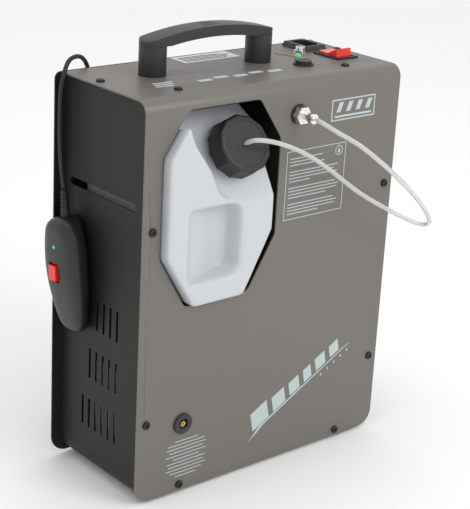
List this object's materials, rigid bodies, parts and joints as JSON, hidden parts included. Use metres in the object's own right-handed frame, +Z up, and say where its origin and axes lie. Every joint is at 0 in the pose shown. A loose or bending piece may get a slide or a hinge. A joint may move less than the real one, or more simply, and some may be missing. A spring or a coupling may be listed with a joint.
{
  "type": "fog machine",
  "caption": "Upright fog machine in a folded sheet casing with a slide-out fluid bottle, heater, pump, carry handle and wired handset.",
  "frame": {"origin": "on the floor under the centre of the casing, midway between its front and rear faces", "axes": "+X to the right seen from the front, -Y forward out of the front cover, +Z up"},
  "size_m": [0.3083, 0.2607, 0.3908],
  "materials": {
    "cover_grey": "warm grey, fine satin paint",
    "case_black": "matt black powder paint",
    "black_plastic": "fine grain",
    "bottle_plastic": "milky polyethylene",
    "red_plastic": "glossy",
    "green_plastic": "clear lens",
    "rubber_black": "matt",
    "screw_steel": "blackened",
    "nickel": "bright plated",
    "steel": "plain",
    "aluminium_cast": "cast",
    "brass_plain": "turned",
    "clear_tube": "clear soft tube",
    "fibre": "glass-fibre mat",
    "board_green": "solder mask",
    "copper_coil": "varnished winding"
  },
  "bodies": {
    "casing": {"board_standoffs": "brass_plain", "body_shell": "case_black", "case_screws": "screw_steel", "circuit_board": "board_green", "control_jack": "nickel", "cord_plug": "black_plastic", "feed_hose": "clear_tube", "fitting_nut": "nickel", "fitting_washer": "rubber_black", "front_cover": "cover_grey", "fuse": "steel", "fuse_holder": "black_plastic", "handle_bolts": "steel", "handle_grip": "black_plastic", "handle_posts": "black_plastic", "handset_back": "black_plastic", "handset_board": "board_green", "handset_cord": "rubber_black", "handset_cord_coil": "rubber_black", "handset_cord_tail": "rubber_black", "handset_front": "black_plastic", "handset_hook": "steel", "handset_led": "green_plastic", "handset_strain_relief": "rubber_black", "heater_bolts": "steel", "heater_brackets": "steel", "heater_insulation": "fibre", "heater_lower_half": "aluminium_cast", "heater_upper_half": "aluminium_cast", "heating_element": "steel", "hose_fitting": "nickel", "inlet_pins": "brass_plain", "inner_feed_tube": "clear_tube", "mains_inlet": "black_plastic", "nozzle": "brass_plain", "nozzle_collar": "black_plastic", "pressure_tube": "clear_tube", "pump_coil": "copper_coil", "pump_core": "brass_plain", "pump_spring": "steel", "pump_yoke": "steel", "ready_led": "green_plastic", "rear_plate": "case_black", "rear_socket": "black_plastic", "rocker_bezel": "black_plastic", "rubber_feet": "rubber_black", "tank_bay": "case_black", "thermostat": "steel", "top_panel": "cover_grey", "transformer": "copper_coil", "vapour_tube": "steel"},
    "rocker": {"power_rocker": "red_plastic"},
    "bottle_body": {"bottle": "bottle_plastic", "suction_tube": "clear_tube", "suction_filter": "steel", "cap_seal": "rubber_black"},
    "cap_body": {"bottle_cap": "black_plastic"},
    "fuse_cap_body": {"fuse_cap": "black_plastic"},
    "plunger_body": {"pump_plunger": "steel"},
    "button_body": {"handset_button": "red_plastic"}
  },
  "joints": [
    {"name": "power_switch", "type": "hinge", "parent": "casing", "child": "rocker", "pos_m": [0.1132, -0.0025, 0.3498], "axis": [1, 0, 0], "range_deg": [0, 26]},
    {"name": "bottle_slide", "type": "slide", "parent": "casing", "child": "bottle_body", "axis": [0, -1, 0], "range_m": [0, 0.11], "deforming": ["feed_hose"]},
    {"name": "cap_thread", "type": "hinge", "parent": "bottle_body", "child": "cap_body", "pos_m": [-0.0436, -0.0462, 0.2973], "axis": [0, -0.8599, 0.5105], "continuous": true},
    {"name": "fuse_cap_turn", "type": "hinge", "parent": "casing", "child": "fuse_cap_body", "pos_m": [0.0615, -0.016, 0.353], "axis": [0, 0, 1], "range_deg": [0, 90]},
    {"name": "pump_stroke", "type": "slide", "parent": "casing", "child": "plunger_body", "axis": [0, 0, 1], "range_m": [0, 0.005], "stiffness_N_per_m": 300, "springref_m": -0.001, "deforming": ["pump_spring"]},
    {"name": "handset_button_press", "type": "slide", "parent": "casing", "child": "button_body", "axis": [1, 0, 0], "range_m": [0, 0.0016], "stiffness_N_per_m": 400, "springref_m": -0.001}
  ]
}
